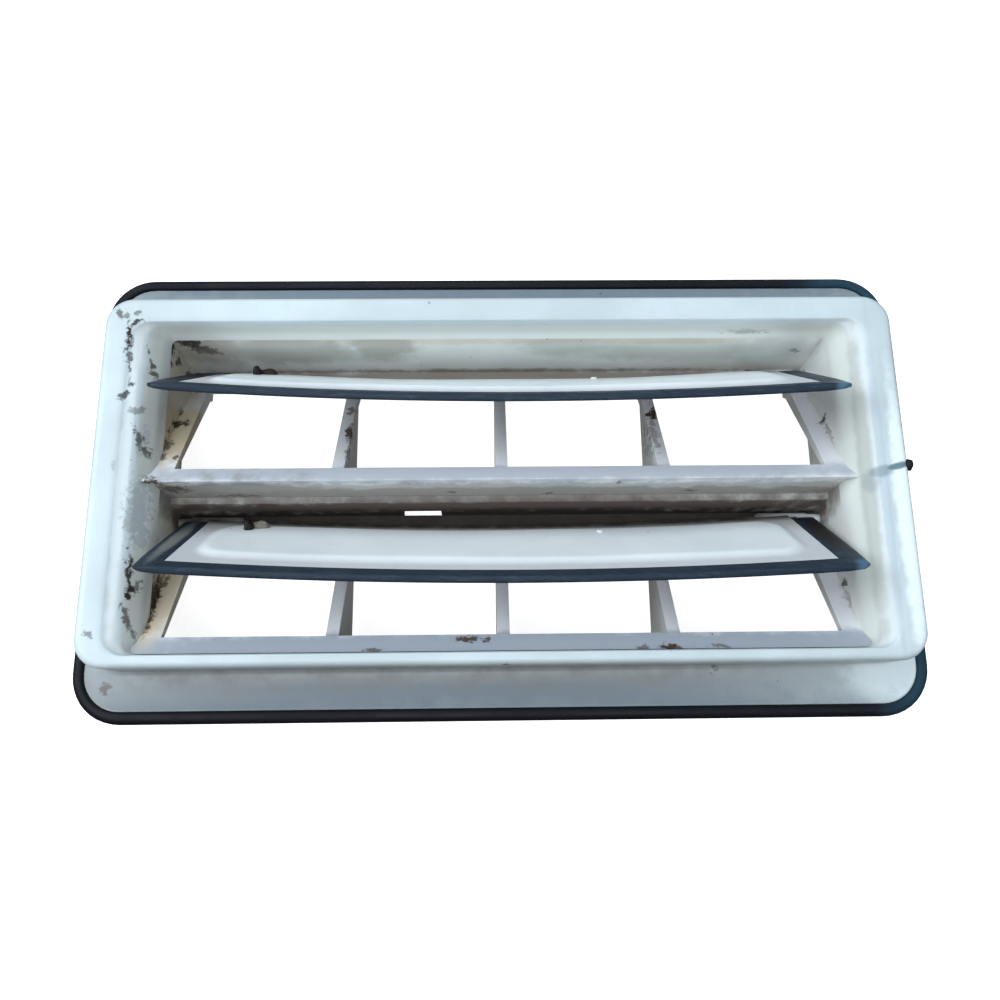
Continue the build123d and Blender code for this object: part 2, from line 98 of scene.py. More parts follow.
LIGHT_TARGET = (0, 0, 0.02)
area_light("key", (-0.35, 0.75, 0.95), LIGHT_TARGET, (0.9, 0.7), 5.2, (0.90, 0.96, 1.0))
area_light("front", (-0.15, -0.55, 1.0), LIGHT_TARGET, (1.0, 0.8), 6.9, (0.95, 0.98, 1.0))
area_light("left", (-0.9, 0.15, 0.75), LIGHT_TARGET, (0.5, 0.6), 6.0, (0.92, 0.97, 1.0))


def tree_of(owner):
    """Empty node tree of a material or world."""
    owner.use_nodes = True
    owner.node_tree.nodes.clear()
    return owner.node_tree


def add_node(tree, kind, **settings):
    """New node with its properties set, and its inputs set by name or number under 'inputs'."""
    node = tree.nodes.new(kind)
    inputs = settings.pop("inputs", {})
    for key, value in settings.items():
        setattr(node, key, value)
    for key, value in inputs.items():
        if isinstance(value, bpy.types.NodeSocket):
            tree.links.new(value, node.inputs[key])
        else:
            node.inputs[key].default_value = value
    return node


def noise_value(tree, coords, scale, detail, roughness):
    """Noise texture's value output."""
    inputs = {"Vector": coords, "Scale": scale, "Detail": detail, "Roughness": roughness}
    return add_node(tree, "ShaderNodeTexNoise", inputs=inputs).outputs[0]


def maths(tree, operation, *values, clamp=False):
    """Result of a maths node."""
    node = add_node(
        tree, "ShaderNodeMath", operation=operation, use_clamp=clamp, inputs=dict(enumerate(values))
    )
    return node.outputs[0]


def vector_maths(tree, operation, *values):
    """Vector maths node."""
    return add_node(tree, "ShaderNodeVectorMath", operation=operation, inputs=dict(enumerate(values)))


def millimetre_coords(tree):
    """Object coordinates in millimetres."""
    place = add_node(tree, "ShaderNodeTexCoord")
    inputs = {0: place.outputs["Object"], "Scale": 1000.0}
    return add_node(tree, "ShaderNodeVectorMath", operation="SCALE", inputs=inputs).outputs[0]


SKY_LEAN = 0.45           # share of the Y direction in the height that the ramp reads
SKY_STOPS = ((0.0, (0.16, 0.14, 0.13)), (0.75, (0.80, 0.90, 1.0)))
SKY_STRENGTH = 0.55

world = bpy.data.worlds.new("studio")
scene.world = world
tree = tree_of(world)
sky_coords = add_node(tree, "ShaderNodeTexCoord")
sky_parts = add_node(tree, "ShaderNodeSeparateXYZ", inputs={0: sky_coords.outputs["Generated"]})
sky_lift = maths(tree, "MULTIPLY_ADD", sky_parts.outputs["Y"], SKY_LEAN, sky_parts.outputs["Z"])
sky_ramp = add_node(tree, "ShaderNodeValToRGB", inputs={0: sky_lift})
for element, (position, colour) in zip(sky_ramp.color_ramp.elements, SKY_STOPS):
    element.position = position
    element.color = (*colour, 1)
sky = add_node(tree, "ShaderNodeBackground", inputs={"Color": sky_ramp.outputs[0], "Strength": SKY_STRENGTH})
add_node(tree, "ShaderNodeOutputWorld", inputs={0: sky.outputs[0]})

FLOOR_SIZE = 40.0
floor_mesh = bpy.data.meshes.new("floor")
half_floor = FLOOR_SIZE / 2
floor_corners = [(x * half_floor, y * half_floor, 0) for x, y in ((-1, -1), (1, -1), (1, 1), (-1, 1))]
floor_mesh.from_pydata(floor_corners, [], [(0, 1, 2, 3)])
floor = bpy.data.objects.new("floor", floor_mesh)
scene.collection.objects.link(floor)
floor_material = bpy.data.materials.new("floor")
tree = tree_of(floor_material)
floor_noise = add_node(tree, "ShaderNodeTexNoise", inputs={"Scale": 3.0, "Detail": 2.0})
floor_tone = add_node(
    tree,
    "ShaderNodeMix",
    data_type="RGBA",
    inputs={0: floor_noise.outputs[0], 6: (0.93, 0.93, 0.93, 1), 7: (0.97, 0.97, 0.97, 1)},
)
floor_shader = add_node(
    tree,
    "ShaderNodeBsdfPrincipled",
    inputs={
        "Base Color": floor_tone.outputs[2],
        "Roughness": 0.9,
        "Emission Color": (1, 1, 1, 1),
        "Emission Strength": 0.85,
    },
)
add_node(tree, "ShaderNodeOutputMaterial", inputs={0: floor_shader.outputs[0]})
floor_mesh.materials.append(floor_material)
floor.visible_diffuse = False
floor.visible_glossy = False
floor.visible_shadow = False


# --- Materials ---

# Reach, in radii, where a patch starts and where it is full
PATCH_OUTER = 1.25
PATCH_INNER = 0.55


def patch_field(tree, coords, rough_edge, patches):
    """Largest of several soft-edged ellipsoids, in millimetres, with an edge broken up by noise."""
    total = None
    for centre, radii, turn_deg, strength in patches:
        local = add_node(
            tree,
            "ShaderNodeMapping",
            vector_type="TEXTURE",
            inputs={
                "Vector": coords,
                "Location": centre,
                "Rotation": tuple(math.radians(a) for a in turn_deg),
                "Scale": radii,
            },
        )
        reach = vector_maths(tree, "LENGTH", local.outputs[0]).outputs["Value"]
        ragged = maths(tree, "ADD", reach, rough_edge)
        field = remap(tree, ragged, PATCH_OUTER, PATCH_INNER, 0.0, strength)
        total = field if total is None else maths(tree, "MAXIMUM", total, field)
    return total


def mix_colour(tree, factor, first, second):
    """Mix of two colours or sockets."""
    node = add_node(tree, "ShaderNodeMix", data_type="RGBA", inputs={0: factor})
    for index, value in ((6, first), (7, second)):
        if isinstance(value, bpy.types.NodeSocket):
            tree.links.new(value, node.inputs[index])
        else:
            node.inputs[index].default_value = (*value, 1)
    return node.outputs[2]


def remap(tree, value, low, high, out_low=0.0, out_high=1.0):
    """Smooth remap of a value."""
    return add_node(
        tree,
        "ShaderNodeMapRange",
        interpolation_type="SMOOTHSTEP",
        inputs={0: value, 1: low, 2: high, 3: out_low, 4: out_high},
    ).outputs[0]


BROWN = (0.065, 0.040, 0.022)
BLACK_GRIME = (0.022, 0.018, 0.014)
GREY_PATCH = (0.36, 0.41, 0.42)
SEAT_NORMAL = (0, 0.588, 0.809)   # direction that the sloping window frames face
STAIN_WARP = 3.4                  # how far noise moves the edge of a ragged stain, in millimetres


def plastic(
    name, light, shade, crevice_dirt_and_shade, layers=(), bands=(), seat_shade=None,
    roughness=(0.28, 0.46), crevice_reach=4.0, crevice_power=0.75,
):
    """Aged moulded plastic: mottled tone, grime and painted shade in the crevices, layers of (colour, edge,
    patches).
    """
    material = bpy.data.materials.new(name)
    tree = tree_of(material)
    coords = millimetre_coords(tree)
    cloud = noise_value(tree, coords, 0.035, 3.0, 0.55)
    mottle = noise_value(tree, coords, 0.22, 5.0, 0.6)
    fine = noise_value(tree, coords, 0.9, 6.0, 0.62)
    grain = noise_value(tree, coords, 6.0, 3.0, 0.6)
    colour = mix_colour(tree, remap(tree, cloud, 0.36, 0.64), light, shade)
    colour = mix_colour(tree, remap(tree, mottle, 0.42, 0.72, 0.0, 0.35), colour, shade)
    # Faces turned like the window seats take a darker tone: painted shade under the flaps
    if seat_shade:
        facing = add_node(tree, "ShaderNodeNewGeometry")
        seat_dot = vector_maths(tree, "DOT_PRODUCT", facing.outputs["Normal"], SEAT_NORMAL)
        on_seat = remap(tree, seat_dot.outputs["Value"], 0.93, 0.99)
        colour = mix_colour(tree, on_seat, colour, seat_shade)
    band_mottle = remap(tree, mottle, 0.25, 0.75, 0.88, 1.06)
    # Attribute bands: painted light and shade on the shell, the flaps' painted hinge shadow and grey border,
    # broken up by mottle
    for attribute, band_colour, strength in bands:
        band = add_node(tree, "ShaderNodeAttribute", attribute_name=attribute)
        amount = maths(tree, "MULTIPLY", band.outputs["Fac"], band_mottle)
        amount = maths(tree, "MULTIPLY", amount, strength, clamp=True)
        colour = mix_colour(tree, amount, colour, band_colour)
    # Ambient occlusion darkens crevices and corners: grime there, and painted shade
    hollow = add_node(
        tree, "ShaderNodeAmbientOcclusion", samples=8, inputs={"Distance": crevice_reach * MM}
    )
    crevice_dirt_and_shade_edge = maths(tree, "MULTIPLY_ADD", mottle, 0.5, hollow.outputs["AO"])
    dirt_and_shade_total = remap(tree, crevice_dirt_and_shade_edge, 1.15, 0.45, 0.0, crevice_power)
    colour = mix_colour(tree, dirt_and_shade_total, colour, crevice_dirt_and_shade)
    swirl_inputs = {"Vector": coords, "Scale": 0.42, "Detail": 3.0, "Roughness": 0.62}
    swirl = add_node(tree, "ShaderNodeTexNoise", inputs=swirl_inputs).outputs["Color"]
    swirl_offset = vector_maths(tree, "SUBTRACT", swirl, (0.5, 0.5, 0.5)).outputs[0]
    warped = vector_maths(tree, "MULTIPLY_ADD", swirl_offset, (STAIN_WARP,) * 3, coords).outputs[0]
    # Each kind of edge has the coordinates that its patches are laid in and the noise that breaks them up
    edges = {
        "ragged": (warped, maths(tree, "MULTIPLY_ADD", fine, 3.0, -1.5)),
        "soft": (coords, maths(tree, "MULTIPLY_ADD", mottle, 1.0, -0.5)),
    }
    for layer_colour, edge, patches in layers:
        amount = patch_field(tree, *edges[edge], patches)
        colour = mix_colour(tree, amount, colour, layer_colour)
        dirt_and_shade_total = maths(tree, "MAXIMUM", dirt_and_shade_total, amount)
    specks = add_node(
        tree, "ShaderNodeTexVoronoi", inputs={"Vector": coords, "Scale": 0.16, "Randomness": 1.0}
    )
    speck_size = maths(tree, "MULTIPLY_ADD", fine, 0.09, specks.outputs["Distance"])
    speck_mask = remap(tree, speck_size, 0.105, 0.085, 0.0, 0.55)
    rare = remap(tree, cloud, 0.48, 0.60)
    colour = mix_colour(tree, maths(tree, "MULTIPLY", speck_mask, rare), colour, BROWN)
    gloss = remap(tree, mottle, 0.3, 0.7, roughness[0], roughness[1])
    rough = maths(tree, "MULTIPLY_ADD", dirt_and_shade_total, 0.35, gloss, clamp=True)
    relief = maths(tree, "MULTIPLY_ADD", mottle, 3.0, grain)
    bump = add_node(
        tree, "ShaderNodeBump", inputs={"Strength": 0.25, "Distance": 0.00006, "Height": relief}
    )
    shader = add_node(
        tree,
        "ShaderNodeBsdfPrincipled",
        inputs={
            "Base Color": colour,
            "Roughness": rough,
            "Normal": bump.outputs[0],
            "IOR": 1.49,
            "Subsurface Weight": 0.12,
            "Subsurface Radius": (0.9, 1.0, 1.1),
            "Subsurface Scale": 0.0016,
        },
    )
    add_node(tree, "ShaderNodeOutputMaterial", inputs={0: shader.outputs[0]})
    return material


def rubber(name, base, dust_and_sheen, dust_and_sheen_power=0.35, roughness=(0.30, 0.52), layers=()):
    """Smooth dark rubber with a film of dust and painted sheen, and soft patches in layers of (colour,
    patches).
    """
    material = bpy.data.materials.new(name)
    tree = tree_of(material)
    coords = millimetre_coords(tree)
    cloud = noise_value(tree, coords, 0.06, 4.0, 0.6)
    streak_space = add_node(
        tree, "ShaderNodeMapping", inputs={"Vector": coords, "Scale": (0.18, 1.3, 1.3)}
    )
    streak = noise_value(tree, streak_space.outputs[0], 1.0, 5.0, 0.65)
    fine = noise_value(tree, coords, 1.6, 5.0, 0.6)
    colour = mix_colour(tree, remap(tree, streak, 0.48, 0.78, 0.0, dust_and_sheen_power), base, dust_and_sheen)
    colour = mix_colour(tree, remap(tree, fine, 0.66, 0.74, 0.0, 0.35), colour, dust_and_sheen)
    soft_amount = maths(tree, "MULTIPLY_ADD", cloud, 1.0, -0.5)
    for layer_colour, patches in layers:
        amount = patch_field(tree, coords, soft_amount, patches)
        colour = mix_colour(tree, amount, colour, layer_colour)
    gloss = remap(tree, cloud, 0.35, 0.65, roughness[0], roughness[1])
    relief = maths(tree, "MULTIPLY_ADD", streak, 2.0, fine)
    bump = add_node(
        tree, "ShaderNodeBump", inputs={"Strength": 0.3, "Distance": 0.00008, "Height": relief}
    )
    shader = add_node(
        tree,
        "ShaderNodeBsdfPrincipled",
        inputs={
            "Base Color": colour,
            "Roughness": gloss,
            "Normal": bump.outputs[0],
            "IOR": 1.52,
            "Specular IOR Level": 0.2,
            "Coat Weight": 0.04,
            "Coat Roughness": 0.4,
        },
    )
    add_node(tree, "ShaderNodeOutputMaterial", inputs={0: shader.outputs[0]})
    return material


NO_TURN = (0, 0, 0)

# Layers of patches, holding stains, dirt, painted shade and painted highlights: colour, edge, patches. Each
# patch is an ellipsoid in the vent's millimetres: centre, radii, turn in degrees, strength. Flaps' patches
# are laid at their rest pose.
shell_layers = [
    # Painted shade in the left groove and on the right ledge
    ((0.44, 0.47, 0.44), "soft", [
        ((-84.5, 12.0, 25.5), (2.2, 30.0, 3.6), NO_TURN, 0.5),
        ((-84.5, -28.0, 25.5), (2.2, 16.0, 3.6), NO_TURN, 0.4),
        ((86.6, -2.0, 28.0), (2.0, 44.0, 1.8), NO_TURN, 0.85),
    ]),
    # Painted shade along the inner edges of the lands
    ((0.42, 0.52, 0.57), "soft", [
        ((89.9, -2.0, 29.8), (1.1, 42.0, 1.6), NO_TURN, 0.65),
        ((-86.8, -2.0, 28.2), (0.9, 42.0, 1.6), NO_TURN, 0.5),
        ((0.0, 38.1, 28.6), (88.0, 0.7, 1.6), NO_TURN, 0.4),
    ]),
    # Painted highlight on the right and left lands and the flange's lower right corner
    ((0.86, 0.97, 1.0), "soft", [
        ((94.0, -12.0, 29.6), (2.4, 36.0, 3.0), NO_TURN, 0.8),
        ((-88.6, -2.0, 29.0), (1.3, 40.0, 2.0), NO_TURN, 0.6),
        ((96.0, -48.0, 15.0), (14.0, 8.0, 3.0), NO_TURN, 0.5),
    ]),
    (GREY_PATCH, "ragged", [
        ((-85.2, -8.0, 27.0), (2.6, 8.0, 4.0), NO_TURN, 0.95),
        ((-84.6, -14.5, 26.0), (1.6, 2.8, 3.0), NO_TURN, 0.85),
        ((-85.4, -3.0, 27.0), (1.2, 4.0, 3.0), NO_TURN, 0.6),
        ((-85.6, 8.0, 26.5), (1.0, 4.5, 3.0), (0, 0, -12), 0.6),
    ]),
    (BLACK_GRIME, "ragged", [
        ((-90.0, 34.0, 29.0), (0.75, 4.6, 2.0), (0, 0, -4), 1.0),
        ((-88.6, 37.8, 29.0), (2.4, 0.7, 2.0), (0, 0, 30), 0.95),
        ((-89.5, 28.5, 29.0), (0.45, 4.2, 2.0), (0, 0, 2), 0.75),
        ((-92.4, 40.0, 30.0), (1.0, 1.3, 2.0), (0, 0, 20), 0.75),
        ((-90.8, 39.8, 30.0), (0.7, 0.7, 2.0), NO_TURN, 0.6),
        ((-88.2, 40.3, 30.0), (1.1, 0.6, 2.0), NO_TURN, 0.65),
        ((-88.9, 22.4, 29.2), (1.0, 0.7, 2.0), (0, 0, 25), 0.85),
        ((-90.1, 19.4, 29.8), (1.3, 0.8, 2.0), (0, 0, 35), 0.85),
        ((-86.9, 15.8, 28.6), (1.6, 0.9, 2.0), NO_TURN, 0.5),
        ((-86.3, 32.2, 26.5), (0.55, 2.2, 1.6), (0, 0, 18), 0.8),
        ((-84.9, 27.2, 25.8), (0.7, 3.4, 1.6), (0, 0, 14), 0.85),
        ((-86.3, 9.4, 27.0), (0.7, 3.4, 2.4), (0, 0, 18), 0.75),
        ((-84.8, 6.4, 26.4), (0.6, 1.8, 2.4), (0, 0, 10), 0.8),
        ((-85.9, -22.5, 27.0), (0.7, 3.6, 3.0), (0, 0, 4), 0.95),
        ((-85.6, -27.0, 27.0), (0.8, 1.8, 3.0), NO_TURN, 1.0),
        ((-84.2, -26.3, 25.5), (0.7, 1.7, 3.0), (0, 0, -20), 0.7),
        ((-85.6, -33.2, 27.0), (0.6, 3.4, 3.0), (0, 0, 14), 0.75),
        ((-84.6, -37.0, 26.5), (0.5, 2.6, 3.0), (0, 0, 24), 0.6),
        ((-92.5, -37.1, 30.0), (0.9, 1.2, 2.0), NO_TURN, 0.6),
        ((0.4, -44.9, 28.0), (0.7, 0.9, 1.8), NO_TURN, 0.9),
        ((50.6, -46.0, 16.5), (1.2, 1.5, 1.5), NO_TURN, 0.6),
        ((-60.0, 45.0, 26.0), (0.9, 0.6, 3.0), NO_TURN, 0.5),
        ((-90.5, 2.0, 29.8), (0.6, 1.2, 1.2), NO_TURN, 0.3),
    ]),
    ((0.07, 0.15, 0.20), "soft", [
        ((93.6, 0.5, 29.8), (3.6, 0.9, 3.0), (0, 0, 14), 0.9),
        ((89.6, -0.7, 29.4), (3.6, 1.5, 3.0), (0, 0, 14), 0.5),
        ((87.2, -3.0, 28.6), (2.0, 3.0, 3.0), NO_TURN, 0.3),
    ]),
    # Painted shade on the flange next to the seal, above and below the rim
    ((0.15, 0.20, 0.25), "soft", [
        ((0.0, 56.0, 15.0), (120.0, 8.0, 8.0), NO_TURN, 0.85),
        ((-6.0, -56.0, 15.0), (105.0, 8.0, 8.0), NO_TURN, 0.7),
    ]),
    (BROWN, "ragged", [
        ((-94.4, -48.9, 15.0), (1.7, 1.2, 2.0), NO_TURN, 0.6),
        ((38.5, -42.0, 26.0), (5.0, 0.6, 3.0), NO_TURN, 0.5),
        ((62.5, 37.6, 23.8), (6.0, 1.2, 1.2), NO_TURN, 0.4),
    ]),
]
shell_material = plastic(
    "aged_white_shell",
    (0.585, 0.685, 0.725),
    (0.52, 0.605, 0.635),
    (0.46, 0.46, 0.42),
    shell_layers,
    # Bands of painted light and shade: the inner wall lightened to the duct's tone, painted shade in the
    # groove, painted shading on the ledge, painted shadow of the rim
    bands=[
        ("inner", (0.84, 0.87, 0.85), 1.0),
        ("groove", (0.60, 0.64, 0.61), 0.9),
        ("ledge", (0.66, 0.71, 0.73), 0.8),
        ("rim_shade", (0.195, 0.20, 0.205), 0.9),
    ],
    crevice_reach=4.0,
    crevice_power=0.3,
)

duct_layers = [
    # Painted shade on the sill and on the bar's front
    ((0.36, 0.41, 0.48), "soft", [
        ((0.0, -40.5, 26.0), (150.0, 5.0, 5.0), NO_TURN, 0.95),
        ((0.0, 1.5, 26.0), (150.0, 4.0, 3.4), NO_TURN, 0.7),
    ]),
    # Tan on the left wall and along the top wall: dirt, and painted shade on these shaded walls
    ((0.62, 0.53, 0.385), "soft", [
        ((-83.0, 29.0, 16.0), (4.0, 14.0, 12.0), NO_TURN, 0.65),
        ((-81.0, 12.0, 14.0), (6.0, 16.0, 12.0), NO_TURN, 1.0),
        ((-82.0, -8.0, 9.0), (12.0, 7.0, 12.0), NO_TURN, 0.6),
        ((-82.0, -30.0, 17.0), (5.0, 16.0, 12.0), NO_TURN, 0.95),
        ((-10.0, 37.2, 20.5), (75.0, 2.5, 3.0), NO_TURN, 0.5),
        ((44.0, 37.2, 19.5), (26.0, 2.5, 2.2), NO_TURN, 0.55),
        ((-80.0, 37.0, 17.0), (9.0, 2.5, 8.0), NO_TURN, 0.6),
    ]),
    # Painted shade, greenish, on the top wall
    ((0.46, 0.52, 0.48), "soft", [
        ((-50.0, 37.0, 12.0), (30.0, 3.0, 5.0), NO_TURN, 0.5),
        ((30.0, 37.0, 13.0), (22.0, 3.0, 4.0), NO_TURN, 0.4),
        ((72.0, 37.0, 14.0), (14.0, 3.0, 7.0), NO_TURN, 0.35),
    ]),
    ((0.40, 0.395, 0.34), "soft", [
        ((-30.0, 37.0, 17.0), (9.0, 6.0, 9.0), (0, 20, 0), 0.7),
        ((-56.0, 37.0, 15.0), (20.0, 6.0, 8.0), NO_TURN, 0.65),
        ((18.0, 37.0, 17.0), (14.0, 6.0, 6.0), NO_TURN, 0.45),
        ((46.0, 37.0, 14.0), (22.0, 6.0, 7.0), NO_TURN, 0.45),
        ((-74.0, 37.0, 16.0), (10.0, 6.0, 10.0), NO_TURN, 0.75),
    ]),
    # Painted shade on the bar's underside, darker at the left
    ((0.20, 0.18, 0.155), "soft", [
        ((0.0, -2.2, 15.5), (140.0, 7.0, 7.0), NO_TURN, 0.85),
        ((0.0, -2.0, 19.5), (140.0, 3.4, 5.5), NO_TURN, 0.6),
        ((-66.0, -2.0, 19.0), (34.0, 5.0, 7.5), NO_TURN, 0.8),
        ((74.0, -2.0, 18.0), (34.0, 5.0, 7.5), NO_TURN, 0.6),
    ]),
    # Painted shade, dark brown, deep under the bar
    ((0.13, 0.10, 0.085), "soft", [
        ((0.0, -5.0, 9.0), (140.0, 6.0, 5.0), NO_TURN, 1.0),
    ]),
    # Painted shadow, near black, behind the lower flap's hinge edge
    ((0.035, 0.026, 0.022), "soft", [
        ((-4.0, -6.5, 2.5), (140.0, 7.0, 5.6), NO_TURN, 1.0),
    ]),
    # Painted shadow along the base of the upper hinge rail, behind the upper flap
    ((0.20, 0.15, 0.11), "soft", [
        ((0.0, 34.0, 2.0), (90.0, 3.2, 2.6), NO_TURN, 0.8),
    ]),
    (BROWN, "ragged", [
        ((-82.4, 17.4, 13.6), (2.8, 1.3, 2.5), (0, 0, 4), 1.0),
        ((-84.0, 21.0, 11.0), (1.0, 2.0, 2.5), (0, 0, -12), 0.85),
        ((-81.0, 17.6, 13.4), (1.4, 0.9, 2.0), NO_TURN, 0.9),
        ((-84.2, 12.5, 17.0), (0.9, 3.4, 3.0), (0, 0, -14), 0.75),
        ((-82.6, 9.8, 19.0), (0.8, 2.4, 3.0), (0, 0, -10), 0.75),
        ((-84.6, 9.0, 19.6), (0.8, 2.4, 3.0), (0, 0, -10), 0.7),
        ((-84.8, 5.8, 22.0), (1.3, 1.2, 2.0), NO_TURN, 0.95),
        ((-82.6, 6.4, 21.4), (0.8, 1.2, 2.0), NO_TURN, 0.8),
        ((-79.2, 6.2, 21.6), (0.8, 1.3, 2.0), NO_TURN, 0.85),
        ((-39.2, 22.5, 8.8), (0.9, 1.4, 3.0), NO_TURN, 0.7),
        ((-38.4, 15.0, 14.4), (1.3, 3.4, 3.0), (0, 0, -6), 0.95),
        ((-37.4, 8.6, 19.0), (1.1, 3.0, 4.0), NO_TURN, 0.75),
        ((-37.0, 3.9, 22.3), (1.0, 1.3, 3.0), NO_TURN, 0.8),
        ((40.3, 20.6, 10.2), (1.2, 3.2, 3.0), (0, 0, -16), 1.0),
        ((38.9, 12.0, 13.0), (0.9, 9.0, 8.0), NO_TURN, 0.5),
        ((-83.2, -27.6, 17.6), (1.3, 6.4, 6.0), (0, 0, 6), 1.0),
        ((-83.0, -33.0, 21.0), (1.0, 4.0, 5.0), (0, 0, 3), 0.95),
        ((-82.4, -23.0, 14.6), (0.8, 2.2, 4.0), NO_TURN, 0.8),
        ((-80.0, -1.5, 21.5), (5.0, 0.8, 3.4), (0, 30, 0), 0.8),
        ((-83.0, -1.4, 27.0), (2.2, 1.3, 1.6), NO_TURN, 0.8),
        ((-65.0, -1.8, 14.8), (5.0, 0.8, 1.2), NO_TURN, 0.6),
        ((-12.3, -1.8, 16.4), (1.2, 0.8, 1.2), NO_TURN, 0.6),
        ((11.8, -1.8, 14.8), (1.4, 0.8, 1.0), NO_TURN, 0.7),
        ((28.5, -1.6, 23.9), (0.9, 0.8, 1.2), NO_TURN, 0.7),
        ((47.1, -1.8, 16.4), (2.0, 0.8, 1.4), NO_TURN, 0.6),
        ((-8.6, -38.5, 25.1), (2.6, 0.8, 2.0), NO_TURN, 0.95),
        ((-4.3, -38.5, 25.1), (1.1, 0.7, 2.0), NO_TURN, 0.85),
        ((38.1, -40.8, 26.7), (3.2, 0.8, 2.0), NO_TURN, 1.0),
        ((31.7, -41.0, 26.8), (1.6, 0.6, 2.0), NO_TURN, 0.7),
        ((-29.5, -41.1, 27.0), (2.2, 0.6, 2.0), NO_TURN, 0.75),
        ((49.0, -41.0, 26.9), (2.0, 0.6, 2.0), NO_TURN, 0.6),
    ]),
    (BLACK_GRIME, "ragged", [
        ((-82.4, 35.5, 21.5), (2.6, 2.4, 3.2), (0, 25, 0), 1.0),
        ((-79.6, 37.3, 20.0), (3.4, 2.0, 3.4), (0, 35, 0), 0.95),
        ((-76.5, 37.0, 15.5), (4.6, 2.0, 2.4), (0, 30, 0), 0.7),
        ((-83.0, 31.6, 21.6), (1.0, 1.3, 3.4), NO_TURN, 0.85),
        ((-83.0, 33.8, 15.6), (1.0, 1.2, 2.6), (20, 0, 0), 0.85),
        ((-77.0, 37.0, 16.8), (1.6, 2.0, 1.2), NO_TURN, 0.8),
        ((-72.5, 37.5, 21.4), (1.2, 2.0, 1.2), NO_TURN, 0.75),
        ((-82.4, 32.0, 7.0), (2.2, 2.6, 3.0), NO_TURN, 0.9),
        ((-83.0, -1.6, 27.0), (2.4, 1.0, 1.6), NO_TURN, 0.8),
        ((82.9, 17.0, 15.6), (1.4, 1.1, 1.6), (-30, 0, 0), 0.9),
        ((83.4, 13.0, 17.8), (1.0, 5.5, 1.0), (-36, 0, 0), 0.4),
        ((82.9, -25.3, 18.0), (0.9, 0.9, 1.8), NO_TURN, 0.9),
        ((83.4, -29.0, 19.0), (1.0, 6.0, 1.0), (-36, 0, 0), 0.3),
        ((78.1, 36.9, 13.4), (1.6, 2.0, 1.0), (0, 30, 0), 0.5),
    ]),
]
# The duct's base tones are lighter than the shell's: painted light inside the cavity
duct_material = plastic(
    "aged_white_duct",
    (0.92, 0.95, 0.955),
    (0.80, 0.83, 0.81),
    (0.50, 0.45, 0.37),
    duct_layers,
    # Painted shade on the seat faces and rib fronts under the flaps
    seat_shade=(0.82, 0.84, 0.88),
    crevice_reach=4.0,
    crevice_power=0.3,
)
# Painted shadow along the flaps' hinge edges, over their undersides and on the pins
hinge_shadow = (0.07, 0.055, 0.045)
flap_material = plastic(
    "aged_white_flap",
    (0.90, 0.955, 0.98),
    (0.82, 0.88, 0.91),
    (0.42, 0.40, 0.37),
    [],
    bands=[("border", (0.62, 0.64, 0.66), 0.85), ("hinge", hinge_shadow, 1.0)],
    crevice_reach=2.5,
    crevice_power=0.5,
)
seal_material = rubber(
    "black_seal",
    (0.002, 0.003, 0.007),
    (0.006, 0.009, 0.015),
    0.3,
    (0.50, 0.70),
    # Painted sheen, teal blue, on the seal's right corners
    [((0.016, 0.055, 0.085), [
        ((94.0, 50.0, 14.0), (16.0, 16.0, 8.0), NO_TURN, 0.8),
        ((99.0, -44.0, 14.0), (12.0, 16.0, 8.0), NO_TURN, 0.8),
    ])],
)
# The lip's blue base and bluish streaks are partly painted sheen from the sky
lip_material = rubber(
    "black_flap_edge",
    (0.014, 0.026, 0.044),
    (0.07, 0.115, 0.17),
    0.4,
    (0.42, 0.62),
    [
        # Painted reflection: a grey strip on the inclined face of the lip's left end
        ((0.17, 0.185, 0.18), [
            ((-77.6, -15.2, 23.0), (1.7, 4.0, 18.0), (28, 0, 0), 1.0),
        ]),
        ((0.012, 0.009, 0.008), [
            ((78.0, -15.0, 20.5), (3.2, 3.0, 15.0), (28, 0, 0), 0.9),
            ((-77.0, 25.0, 22.5), (4.0, 3.0, 17.0), (25, 0, 0), 0.7),
        ]),
        # Painted highlight, blue, on the right tips of the lips
        ((0.10, 0.22, 0.33), [
            ((79.5, -25.0, 38.0), (3.0, 3.0, 3.0), NO_TURN, 0.7),
            ((79.5, 16.0, 40.0), (3.0, 3.0, 3.0), NO_TURN, 0.6),
        ]),
    ],
)
crumb_material = rubber(
    "black_crumb", (0.006, 0.006, 0.008), (0.03, 0.033, 0.037), 0.3, (0.45, 0.65)
)
# Near-black rubber for the lump that stands for the slot's shadow: painted shadow
slot_shadow_material = rubber("dark_slot_shadow", (0.012, 0.010, 0.010), (0.05, 0.045, 0.04), 0.4, (0.5, 0.7))
lug_materials = {
    "upper": rubber("brown_lug", (0.035, 0.026, 0.022), (0.09, 0.075, 0.06), 0.6, (0.5, 0.7)),
    "lower": rubber("tan_lug", (0.22, 0.20, 0.165), (0.42, 0.40, 0.36), 0.8, (0.5, 0.7)),
}


# --- Mesh helpers ---

def new_piece(name, vertices, faces, material, body, smooth_angle=35):
    """Mesh piece from points in millimetres, riding on a body."""
    mesh = bpy.data.meshes.new(name)
    mesh.from_pydata([tuple(c * MM for c in v) for v in vertices], [], faces)
    return finish_piece(name, mesh, material, body, smooth_angle)


